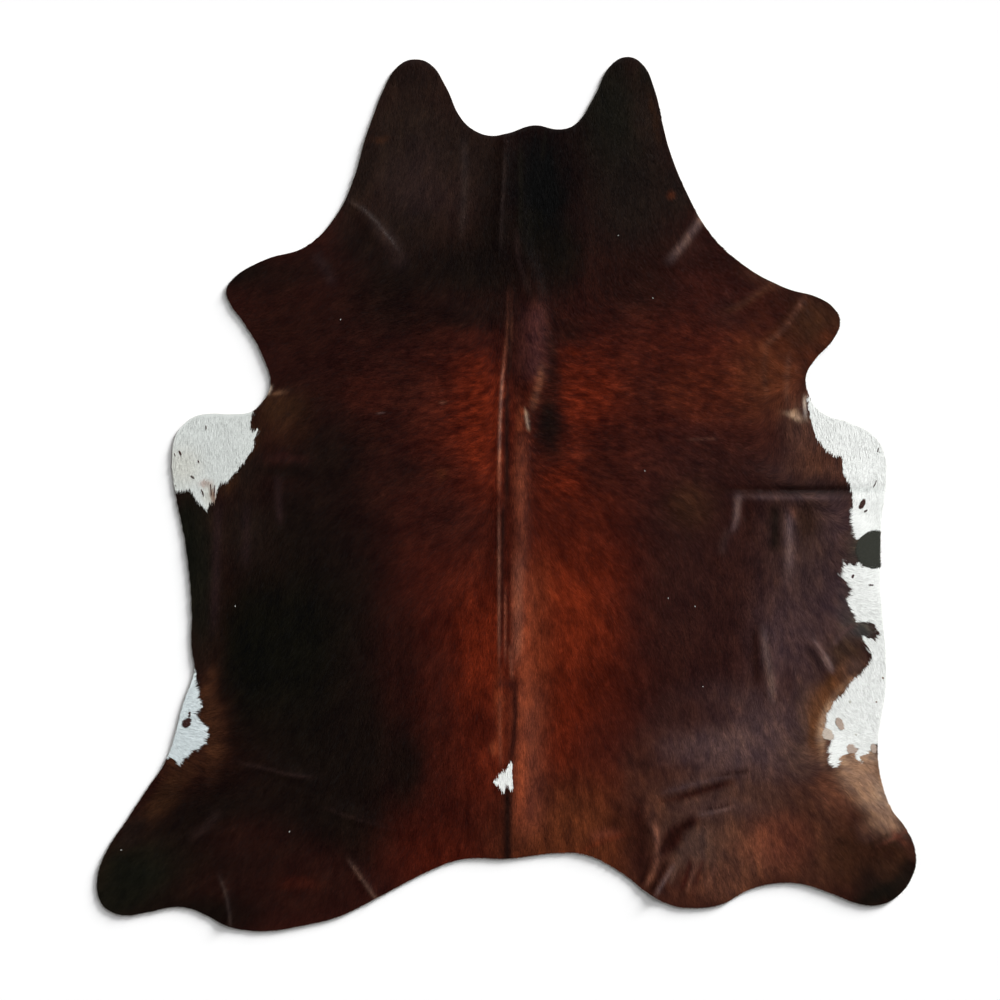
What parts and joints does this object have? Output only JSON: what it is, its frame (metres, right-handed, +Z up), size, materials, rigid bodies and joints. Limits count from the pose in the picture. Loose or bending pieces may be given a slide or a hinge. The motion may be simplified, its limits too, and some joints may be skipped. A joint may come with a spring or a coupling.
{
  "type": "cowhide rug",
  "caption": "Whole cowhide rug lying flat, hair side up, with its cut outline, spine ridge, flank creases and thigh wrinkles.",
  "frame": {"origin": "on the floor under the middle of the hide's length and width", "axes": "+Y from the rump to the neck, +X to the hide's right as seen from above, +Z up out of the hair side"},
  "size_m": [2.0474, 2.1858, 0.0135],
  "materials": {
    "cowhide": "short glossy hair, dark brown to rust along the spine, with white edge patches, on suede leather"
  },
  "bodies": {
    "root": {"hide": "cowhide"}
  },
  "joints": []
}
